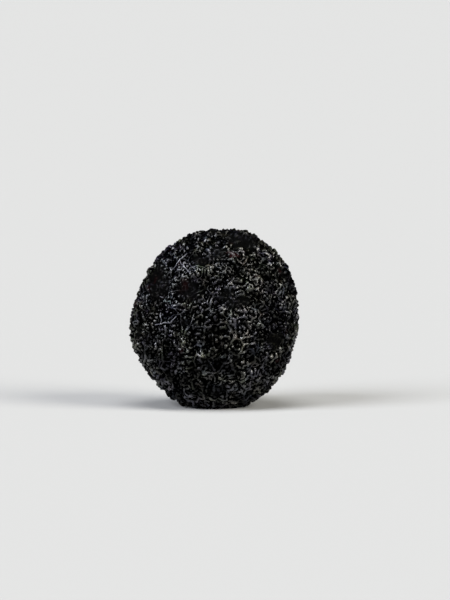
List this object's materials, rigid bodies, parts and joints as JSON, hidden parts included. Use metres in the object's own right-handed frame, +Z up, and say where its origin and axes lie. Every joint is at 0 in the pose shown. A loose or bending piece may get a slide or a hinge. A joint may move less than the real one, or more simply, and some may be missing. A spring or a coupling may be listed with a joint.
{
  "type": "black truffle",
  "caption": "Whole black truffle: a nearly round fruit body with a skin of low polygonal warts, resting on a small flat spot on its underside.",
  "frame": {"origin": "on the resting plane, under the middle of the truffle's box, inside the flat spot", "axes": "+Z up through the crown, +X across the widest side with the fuller shoulder, -Y the front"},
  "size_m": [0.0376, 0.0358, 0.0393],
  "materials": {
    "peridium": "moist black warty fungus skin, satin on the wart tops and matt in the grooves"
  },
  "bodies": {
    "root": {"truffle": "peridium"}
  },
  "joints": []
}
